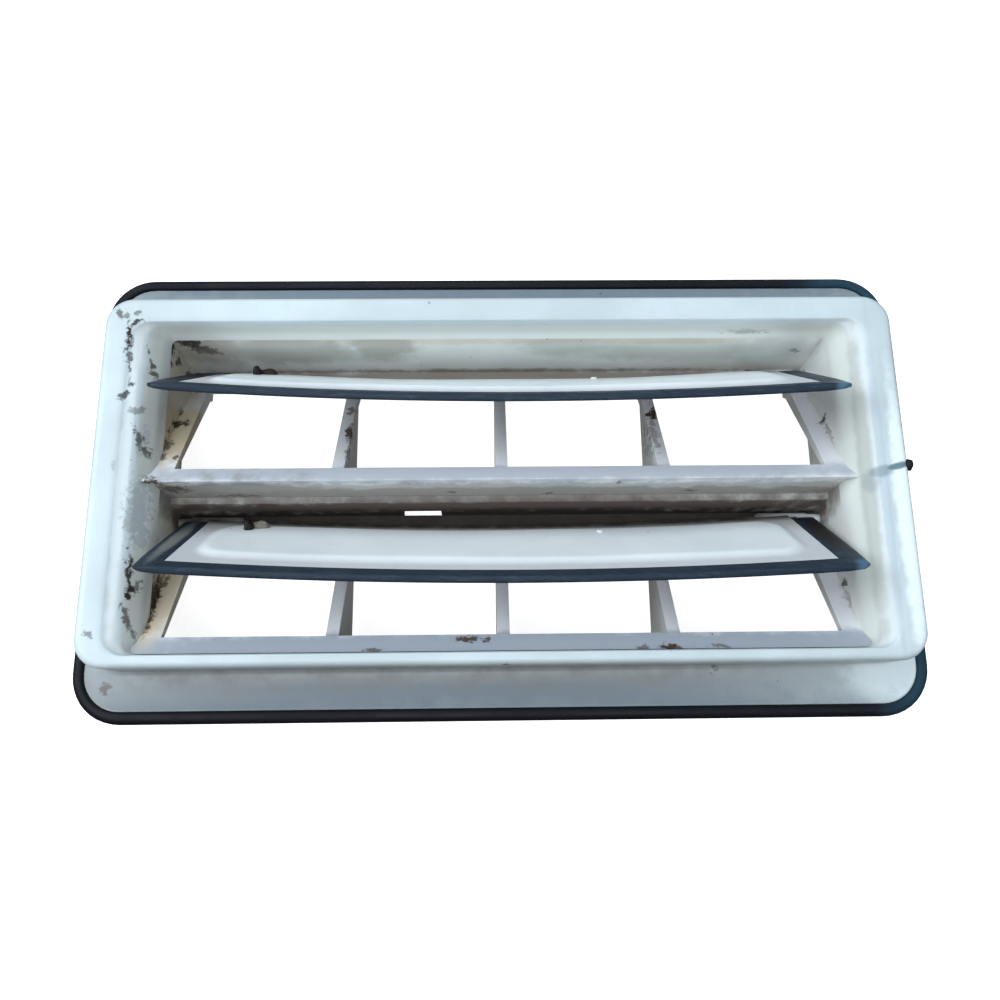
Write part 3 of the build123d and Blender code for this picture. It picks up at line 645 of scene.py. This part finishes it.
def finish_piece(name, mesh, material, body, smooth_angle=35):
    """Object for a mesh, with outward normals, smooth shading, material and body."""
    work = bmesh.new()
    work.from_mesh(mesh)
    bmesh.ops.recalc_face_normals(work, faces=work.faces)
    work.to_mesh(mesh)
    work.free()
    mesh.materials.clear()
    mesh.materials.append(material)
    mesh.polygons.foreach_set("use_smooth", [True] * len(mesh.polygons))
    mesh.set_sharp_from_angle(angle=math.radians(smooth_angle))
    piece = bpy.data.objects.new(name, mesh)
    scene.collection.objects.link(piece)
    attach(piece, body)
    return piece


def rounded_loop(half_width, bottom, top, corner, z, corner_steps=10, long_steps=40, short_steps=20):
    """Closed loop of points round a rounded rectangle, with the same count for any size."""
    points = []
    corners = [
        (half_width - corner, top - corner, 0),
        (-half_width + corner, top - corner, 90),
        (-half_width + corner, bottom + corner, 180),
        (half_width - corner, bottom + corner, 270),
    ]
    for index, (cx, cy, start) in enumerate(corners):
        for step in range(corner_steps + 1):
            a = math.radians(start + 90 * step / corner_steps)
            points.append(Vector((cx + corner * math.cos(a), cy + corner * math.sin(a), z)))
        following = corners[(index + 1) % 4]
        a = math.radians(start + 90)
        first = points[-1].copy()
        last = Vector((following[0] + corner * math.cos(a), following[1] + corner * math.sin(a), z))
        steps = long_steps if index % 2 == 0 else short_steps
        for step in range(1, steps):
            points.append(first.lerp(last, step / steps))
    return points


def bridge_loops(loops, closed):
    """Quads between loops of equal length. closed joins the last loop to the first."""
    count = len(loops[0])
    vertices = [p for loop in loops for p in loop]
    faces = []
    pairs = len(loops) if closed else len(loops) - 1
    for i in range(pairs):
        a, b = i * count, (i + 1) % len(loops) * count
        for j in range(count):
            k = (j + 1) % count
            faces.append((a + j, a + k, b + k, b + j))
    return vertices, faces


def float_attribute(mesh, name, values):
    """Store one number per vertex."""
    attribute = mesh.attributes.new(name, "FLOAT", "POINT")
    attribute.data.foreach_set("value", values)


# --- Rim shell: mouth rim and flange as one moulding ---

LAND_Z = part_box("mouth_rim")[1].z / MM
RIM_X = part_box("mouth_rim")[1].x / MM
RIM_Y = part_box("mouth_rim")[1].y / MM
FLANGE_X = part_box("mounting_flange")[1].x / MM
FLANGE_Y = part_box("mounting_flange")[1].y / MM
FLANGE_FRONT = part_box("mounting_flange")[1].z / MM
FLANGE_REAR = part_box("mounting_flange")[0].z / MM
RIM_CORNER = 6.5
FLANGE_CORNER = 9.0

# Each ring: half width, lower Y, upper Y, corner radius, height, groove, ledge, rim shade (weights of the
# painted shade bands)
shell_rings = [
    (82.94, -41.34, 37.30, 1.6, 20.6, 0.0, 0.0, 0.0),
    (82.97, -41.37, 37.42, 1.7, 22.3, 0.1, 0.0, 0.0),
    (83.10, -41.40, 37.50, 1.9, 23.6, 0.5, 0.0, 0.0),
    (83.45, -41.45, 37.62, 2.1, 24.6, 0.9, 0.0, 0.0),
    (84.00, -41.50, 37.70, 2.4, 25.4, 1.0, 0.0, 0.0),
    (85.10, -41.53, 37.78, 2.9, 26.7, 1.0, 0.0, 0.0),
    (85.95, -41.57, 37.86, 3.3, 27.7, 0.75, 0.3, 0.0),
    (86.45, -41.61, 37.92, 3.6, 28.2, 0.2, 0.9, 0.0),
    (87.20, -41.65, 37.98, 3.9, 28.55, 0.0, 1.0, 0.0),
    (88.60, -41.70, 38.06, 4.4, 29.1, 0.0, 0.9, 0.0),
    (89.30, -41.76, 38.16, 4.7, 29.45, 0.0, 0.5, 0.0),
    (89.80, -41.86, 38.30, 5.0, 29.78, 0.0, 0.15, 0.0),
    (90.30, -42.06, 38.62, 5.2, 29.95, 0.0, 0.0, 0.0),
    (91.20, -42.40, 39.30, 5.5, LAND_Z, 0.0, 0.0, 0.0),
    (RIM_X - 2.3, -42.95, 42.40, 5.9, LAND_Z, 0.0, 0.0, 0.0),
    (RIM_X - 1.3, -43.40, 43.30, 6.1, 29.96, 0.0, 0.0, 0.0),
    (RIM_X - 0.65, -43.95, 43.95, 6.3, 29.7, 0.0, 0.0, 0.0),
    (RIM_X - 0.25, -44.35, 44.35, 6.4, 29.2, 0.0, 0.0, 0.0),
    (RIM_X - 0.05, -RIM_Y + 0.05, RIM_Y - 0.05, RIM_CORNER, 28.4, 0.0, 0.0, 0.1),
    (RIM_X, -RIM_Y, RIM_Y, RIM_CORNER, 26.0, 0.0, 0.0, 0.5),
    (RIM_X, -RIM_Y, RIM_Y, RIM_CORNER, 20.0, 0.0, 0.0, 0.9),
    (RIM_X, -RIM_Y, RIM_Y, RIM_CORNER, 16.8, 0.0, 0.0, 1.0),
    (RIM_X + 0.2, -RIM_Y - 0.2, RIM_Y + 0.2, RIM_CORNER + 0.2, 15.9, 0.0, 0.0, 1.0),
    (RIM_X + 0.7, -RIM_Y - 0.7, RIM_Y + 0.7, RIM_CORNER + 0.6, 15.25, 0.0, 0.0, 1.0),
    (RIM_X + 1.3, -RIM_Y - 1.4, RIM_Y + 1.4, RIM_CORNER + 1.1, FLANGE_FRONT, 0.0, 0.0, 0.95),
    (RIM_X + 2.2, -RIM_Y - 4.5, RIM_Y + 4.5, RIM_CORNER + 1.8, FLANGE_FRONT, 0.0, 0.0, 0.95),
    (FLANGE_X - 0.4, -FLANGE_Y + 0.5, FLANGE_Y - 0.5, FLANGE_CORNER - 0.4, FLANGE_FRONT, 0.0, 0.0, 1.0),
    (FLANGE_X - 0.05, -FLANGE_Y + 0.05, FLANGE_Y - 0.05, FLANGE_CORNER, FLANGE_FRONT - 0.3, 0.0, 0.0, 0.0),
    (FLANGE_X - 0.05, -FLANGE_Y + 0.05, FLANGE_Y - 0.05, FLANGE_CORNER, FLANGE_REAR + 0.3, 0.0, 0.0, 0.0),
    (FLANGE_X - 0.4, -FLANGE_Y + 0.4, FLANGE_Y - 0.4, FLANGE_CORNER - 0.4, FLANGE_REAR, 0.0, 0.0, 0.0),
    (RIM_X - 1.6, -44.0, 42.9, 5.2, FLANGE_REAR, 0.0, 0.0, 0.0),
    (RIM_X - 2.2, -43.75, 42.5, 4.6, 13.0, 0.2, 0.0, 0.0),
    (RIM_X - 2.2, -43.7, 42.4, 4.6, 20.0, 0.3, 0.0, 0.0),
    (RIM_X - 2.3, -43.65, 42.3, 4.5, 26.9, 0.3, 0.0, 0.0),
    (RIM_X - 2.8, -43.62, 42.0, 4.0, 27.6, 0.4, 0.0, 0.0),
    (89.3, -43.61, 40.4, 3.0, 27.6, 0.4, 0.0, 0.0),
    (88.4, -43.60, 39.9, 2.6, 27.2, 0.4, 0.0, 0.0),
    (85.4, -43.60, 39.7, 2.0, 22.6, 0.3, 0.0, 0.0),
    (85.2, -43.60, 39.7, 1.6, 20.6, 0.2, 0.0, 0.0),
]
shell_loops = [rounded_loop(hx, low, high, corner, z) for hx, low, high, corner, z, _, _, _ in shell_rings]
vertices, faces = bridge_loops(shell_loops, closed=True)
rim_shell = new_piece("rim_shell", vertices, faces, shell_material, "housing")
# Weights of the inner band, painted light that lightens the shell's inner wall to the duct's tone
inner_rings = [1.0, 1.0, 1.0, 0.9, 0.6, 0.3]
for column, attribute in ((5, "groove"), (6, "ledge"), (7, "rim_shade"), (None, "inner")):
    values = []
    for number, (ring, loop) in enumerate(zip(shell_rings, shell_loops)):
        for point in loop:
            if attribute == "inner":
                value = inner_rings[number] if number < len(inner_rings) else 0.0
            else:
                value = ring[column]
            # The rim's painted shadow is darkest on the side below the rim, and pales towards the lower
            # right corner
            if attribute == "rim_shade":
                side = point.x / RIM_X
                value *= 0.8 if point.y > 0 else 1.0 - (1.0 if side > 0 else 0.12) * min(abs(side), 1.0) ** 3
            values.append(value)
    float_attribute(rim_shell.data, attribute, values)
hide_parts("mouth_rim", "mounting_flange")


# --- Panel seal ---

# Section of the seal: distance outside the flange's edge, height
seal_section = [
    (0.02, 14.0), (0.06, 15.1), (0.35, 15.45), (0.9, 15.58), (1.5, 15.55), (2.1, 15.3), (2.6, 14.8),
    (2.9, 14.1), (3.0, 13.2), (2.98, 12.0), (3.0, 11.0), (2.95, 10.3), (2.7, 9.95), (2.35, 10.0),
    (2.15, 10.4), (2.1, 11.8), (1.8, 12.25), (-1.6, 12.3), (-1.95, 12.0), (-2.0, 10.3), (-2.3, 9.95),
    (-4.2, 9.92), (-4.55, 10.2), (-4.6, 12.2), (-4.3, 12.45), (-0.4, 12.48), (0.0, 12.7),
]
seal_loops = [
    rounded_loop(FLANGE_X + out, -FLANGE_Y - out, FLANGE_Y + out, FLANGE_CORNER + out, z)
    for out, z in seal_section
]
vertices, faces = bridge_loops(seal_loops, closed=True)
panel_seal = new_piece("panel_seal", vertices, faces, seal_material, "housing", 50)
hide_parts("lip_seal")


# --- Window frame: duct walls, bar, sill, rails, seats and ribs as one moulding ---

def copy_of(node_name):
    """Free copy of a CAD node's mesh, welded."""
    copy = bpy.data.objects.new("work_" + node_name, nodes[node_name].data.copy())
    scene.collection.objects.link(copy)
    work = bmesh.new()
    work.from_mesh(copy.data)
    bmesh.ops.remove_doubles(work, verts=work.verts, dist=0.000005)
    bmesh.ops.recalc_face_normals(work, faces=work.faces)
    work.to_mesh(copy.data)
    work.free()
    return copy


def union_of(names):
    """Mesh of several CAD nodes joined into one solid."""
    base = copy_of(names[0])
    for node_name in names[1:]:
        other = copy_of(node_name)
        joiner = base.modifiers.new("join", "BOOLEAN")
        joiner.operation = "UNION"
        joiner.solver = "EXACT"
        joiner.object = other
        graph = bpy.context.evaluated_depsgraph_get()
        joined = bpy.data.meshes.new_from_object(base.evaluated_get(graph))
        base.modifiers.clear()
        base.data = joined
        bpy.data.objects.remove(other)
    mesh = base.data
    bpy.data.objects.remove(base)
    return mesh


walls = ["side_wall_left", "side_wall_right", "top_wall", "bottom_wall", "middle_bar", "bottom_sill"]
grid = []
for row in ("upper", "lower"):
    grid.append(f"{row}_hinge_rail")
    grid += [f"{row}_seat_{side}" for side in ("left", "right")]
    grid += [f"{row}_rib_{place}" for place in ("left", "centre", "right")]
frame_mesh = union_of(walls + grid)
work = bmesh.new()
work.from_mesh(frame_mesh)
bmesh.ops.remove_doubles(work, verts=work.verts, dist=0.00001)
bmesh.ops.dissolve_limit(work, angle_limit=math.radians(1.0), verts=work.verts, edges=work.edges)
work.to_mesh(frame_mesh)
work.free()
window_frame = finish_piece("window_frame", frame_mesh, duct_material, "housing")
soften = window_frame.modifiers.new("soften", "BEVEL")
soften.width = 0.45 * MM
soften.segments = 3
soften.limit_method = "ANGLE"
soften.angle_limit = math.radians(28)
soften.harden_normals = True
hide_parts(*walls, *grid)

for node_name in ("snap_clips_top", "snap_clips_bottom"):
    clip = nodes[node_name]
    clip.data.materials.clear()
    clip.data.materials.append(duct_material)
    weld = clip.modifiers.new("weld", "WELD")
    weld.merge_threshold = 0.00001
    soften = clip.modifiers.new("soften", "BEVEL")
    soften.width = 0.3 * MM
    soften.segments = 3
    soften.limit_method = "ANGLE"


# --- Flaps ---

HINGE_Z = 5.24
FLAP_ANGLE = {"upper": math.radians(64.5), "lower": math.radians(61.8)}
HINGE_Y = {"upper": 33.2, "lower": -6.8}
FLAP_HALF_WIDTH = 80.5
FLAP_LENGTH = 38.8
FLAP_BOW = 2.8
FLAP_MIDDLE_W = -2.1
FLAP_SKEW = 0.5
PLATE_HALF = 0.9
PLATE_HALF_WIDTH = 75.0
PLATE_LENGTH = 35.2
# The tongue is the thin edge of the plate that reaches into the lip
TONGUE_X = 77.2
TONGUE_U = 37.0
TONGUE_SHARE = 0.5
ROOT_U = -0.5
EDGE_ROUND = 0.5
PILLOW_RISE = 0.95
# Half profile of barrel and pin: distance from the flap's middle, radius
PIN_PROFILE = [
    (66.0, 0.2), (66.4, 1.1), (67.2, 1.45), (79.4, 1.45), (79.75, 1.35), (79.9, 1.2),
    (82.2, 1.2), (84.4, 1.2), (84.7, 1.0), (84.75, 0.2),
]
PIN_STEPS = 24
# Section of the lip: share of its width, share of the thickness; outward side first
LIP_SECTION = [
    (0.0, 0.98), (0.25, 1.0), (0.5, 0.98), (0.78, 0.94), (0.91, 0.86), (0.97, 0.72), (0.995, 0.45),
    (1.0, 0.0), (0.995, -0.45), (0.97, -0.72), (0.91, -0.86), (0.78, -0.94), (0.5, -0.98),
    (0.25, -1.0), (0.0, -0.98),
]


def bow(x):
    """Height of the plate's middle surface over the pivot axis."""
    radius = (FLAP_HALF_WIDTH**2 + FLAP_BOW**2) / (2 * FLAP_BOW)
    return FLAP_MIDDLE_W + radius - math.sqrt(radius**2 - x**2)


def flap_point(row, x, u, w):
    """Point of the row frame from flap coordinates: across, along, outward."""
    a = FLAP_ANGLE[row]
    w = w - FLAP_SKEW * x / FLAP_HALF_WIDTH * max(u, 0.0) / FLAP_LENGTH
    y = HINGE_Y[row] - u * math.cos(a) + w * math.sin(a)
    z = HINGE_Z + u * math.sin(a) + w * math.cos(a)
    return Vector((x, y, z))


def spread(stops, steps):
    """Numbers between stops, with a count of steps for each gap."""
    values = [stops[0]]
    for low, high, count in zip(stops, stops[1:], steps):
        values += [low + (high - low) * (i + 1) / count for i in range(count)]
    return values


def pillow_height(x, u, row):
    """Rise of the plate's outer face, a soft-edged wavy pillow, and the share of it that is inside."""
    half_x, mid_u, half_u, corner, slope = 71.5, 18.0, 13.5, 8.0, 3.2
    dx, du = abs(x) - half_x + corner, abs(u - mid_u) - half_u + corner
    outside = math.hypot(max(dx, 0), max(du, 0)) + min(max(dx, du), 0) - corner
    t = min(max(-outside / slope, 0), 1)
    step = t * t * (3 - 2 * t)
    wave = 0.10 * math.sin(x * 0.11 + (1.3 if row == "upper" else 0.2)) * math.sin(u * 0.19)
    return step * (PILLOW_RISE + wave), step


def flap_plate(row):
    """Plate with its pillow, barrels and pins."""
    xs = spread([-TONGUE_X, -75.6, -74.0, -63.0, 63.0, 74.0, 75.6, TONGUE_X], [3, 3, 16, 60, 16, 3, 3])
    us = spread([ROOT_U, 0.4, 3.8, 9.0, 27.5, 32.5, 34.6, TONGUE_U], [3, 5, 8, 14, 8, 4, 3])
    vertices, faces, border, hinge = [], [], [], []
    for face_side in (1, -1):
        for u in us:
            for x in xs:
                edge = min(x + TONGUE_X, TONGUE_X - x, u - ROOT_U, TONGUE_U - u)
                round_off = math.sqrt(max(0.0, 1 - (1 - min(edge / EDGE_ROUND, 1)) ** 2))
                tongue = 1.0 if abs(x) <= PLATE_HALF_WIDTH and u <= PLATE_LENGTH else TONGUE_SHARE
                rise, inside = pillow_height(x, u, row)
                height = PLATE_HALF * round_off * tongue
                if face_side > 0:
                    height += rise
                vertices.append(flap_point(row, x, u, bow(x) + face_side * height))
                border.append(1.0 - inside)
                # Painted hinge shadow: full by the hinge edge of the top face, weaker on the upper row, 0.6
                # over the underside
                reach = 1.0 - min(max((u - 2.0) / 3.4, 0.0), 1.0)
                hinge.append(reach * (1.0 if row == "lower" else 0.55) if face_side > 0 else 0.6)
    nx, nu = len(xs), len(us)
    sheet = nx * nu
    for i in range(nu - 1):
        for j in range(nx - 1):
            a = i * nx + j
            faces.append((a, a + 1, a + nx + 1, a + nx))
            faces.append((sheet + a, sheet + a + nx, sheet + a + nx + 1, sheet + a + 1))
    mesh = bpy.data.meshes.new(f"{row}_flap")
    mesh.from_pydata([tuple(c * MM for c in v) for v in vertices], [], faces)
    float_attribute(mesh, "border", border)
    float_attribute(mesh, "hinge", hinge)
    work = bmesh.new()
    work.from_mesh(mesh)
    bmesh.ops.remove_doubles(work, verts=work.verts, dist=0.000001)
    # Barrels and pins on the pivot axis
    hinge_shadow_layer = work.verts.layers.float["hinge"]
    for side in (1, -1):
        rings = []
        for along, radius in PIN_PROFILE:
            ring = []
            for step in range(PIN_STEPS):
                a = 2 * math.pi * step / PIN_STEPS
                spot = flap_point(row, side * along, radius * math.cos(a), radius * math.sin(a)) * MM
                ring.append(work.verts.new(spot))
                # The pins carry the painted hinge shadow, except the outer right pins
                ring[-1][hinge_shadow_layer] = 0.0 if side > 0 and along > 74 else 1.0
            rings.append(ring)
        for first, second in zip(rings, rings[1:]):
            for step in range(PIN_STEPS):
                following = (step + 1) % PIN_STEPS
                work.faces.new((first[step], first[following], second[following], second[step]))
        work.faces.new(rings[0])
        work.faces.new(rings[-1])
    work.to_mesh(mesh)
    work.free()
    piece = finish_piece(f"{row}_flap", mesh, flap_material, f"{row}_flap", 40)
    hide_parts(f"{row}_flap_plate")


def flap_edge(row):
    """Soft lip round the plate's free edge and ends, tapering to its ends and thinner at its corners."""
    stations = []
    start, fade_length, corner, corner_steps = 2.6, 1.2, 0.9, 9
    inner_x, inner_u = 74.7, 34.9
    outer_x, outer_u = FLAP_HALF_WIDTH, FLAP_LENGTH
    for u in spread([start, start + fade_length, 33.5, inner_u], [4, 22, 3]):
        fade = min(1.0, (u - start) / fade_length * 0.75 + 0.25)
        stations.append(((-inner_x, u), (-outer_x + (1 - fade) * fade_length, u), fade))
    for step in range(1, corner_steps):
        f = step / corner_steps
        if f < 0.5:
            outer = (-outer_x, inner_u + (outer_u - corner - inner_u) * f * 2)
        else:
            g = (f - 0.5) * 2
            outer = (-outer_x + corner + (outer_x - corner - inner_x) * g, outer_u)
        stations.append(((-inner_x, inner_u), outer, 1.0))
    left_end = stations[:-1]
    for x in spread([-inner_x, inner_x], [90]):
        stations.append(((x, inner_u), (x, outer_u), 1.0))
    mirrored = [((-i[0], i[1]), (-o[0], o[1]), fade) for i, o, fade in left_end]
    stations += mirrored[::-1]
    loops = []
    for inner, outer, fade in stations:
        tip = max(0.0, (abs(outer[0]) - 76.0) / 4.5) * max(0.0, (outer[1] - 30.0) / 8.8)
        loop = []
        for f, h in LIP_SECTION:
            x = inner[0] + (outer[0] - inner[0]) * f
            u = inner[1] + (outer[1] - inner[1]) * f
            thin = 1.0 - 0.45 * tip * f
            loop.append(flap_point(row, x, u, bow(x) + h * fade * thin))
        loops.append(loop)
    vertices, faces = bridge_loops(loops, closed=False)
    count = len(LIP_SECTION)
    faces.append(tuple(range(count)))
    faces.append(tuple(range((len(loops) - 1) * count, len(loops) * count)))
    piece = new_piece(f"{row}_flap_edge", vertices, faces, lip_material, f"{row}_flap", 60)
    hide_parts(f"{row}_flap_lip")


def lump_mesh(name, centre, radii, swell_size, swell_scale, swell_offset, to_row_frame):
    """Uneven ball, in the coordinates that to_row_frame turns into a point of the row frame."""
    work = bmesh.new()
    bmesh.ops.create_icosphere(work, subdivisions=4, radius=1.0)
    for vertex in work.verts:
        swell = 1 + swell_size * noise.noise(vertex.co * swell_scale + Vector(swell_offset))
        swollen = vertex.co * swell
        place = [middle + part * radius for middle, part, radius in zip(centre, swollen, radii)]
        vertex.co = to_row_frame(place) * MM
    mesh = bpy.data.meshes.new(name)
    work.to_mesh(mesh)
    work.free()
    return mesh


def blob(name, row, centre, radii, seed, material):
    """Small lump on a flap, in flap coordinates."""
    mesh = lump_mesh(name, centre, radii, 0.18, 1.6, (seed, 2.0, 5.0), lambda p: flap_point(row, *p))
    finish_piece(name, mesh, material, f"{row}_flap")


# Distances from the middle of the flap
SLOT_SHADOW_X = 62.5
GATE_X = 24.5

for row in ("upper", "lower"):
    flap_plate(row)
    flap_edge(row)
    base = bow(SLOT_SHADOW_X) + PLATE_HALF
    # The dark lump beside the lug stands for the shadow in the slot: painted shadow
    blob(f"{row}_slot_shadow", row, (-SLOT_SHADOW_X, 10.3, base + 1.2), (1.15, 1.5, 1.9), 1.0, slot_shadow_material)
    blob(f"{row}_stop_lug", row, (-60.0, 8.6, base + 1.0), (2.2, 1.4, 1.4), 4.0, lug_materials[row])
    gate_height = bow(GATE_X) + PLATE_HALF + 0.95
    blob(f"{row}_gate_mark", row, (GATE_X, 10.0, gate_height), (0.9, 0.9, 0.5), 7.0, flap_material)


# --- Crumb of sealant on the rim's right edge ---

mesh = lump_mesh(
    "sealant_crumb", (RIM_X + 0.1, 1.0, 28.9), (1.25, 1.35, 1.3), 0.22, 1.3, (3.0, 1.0, 0.0), Vector
)
finish_piece("sealant_crumb", mesh, crumb_material, "housing")
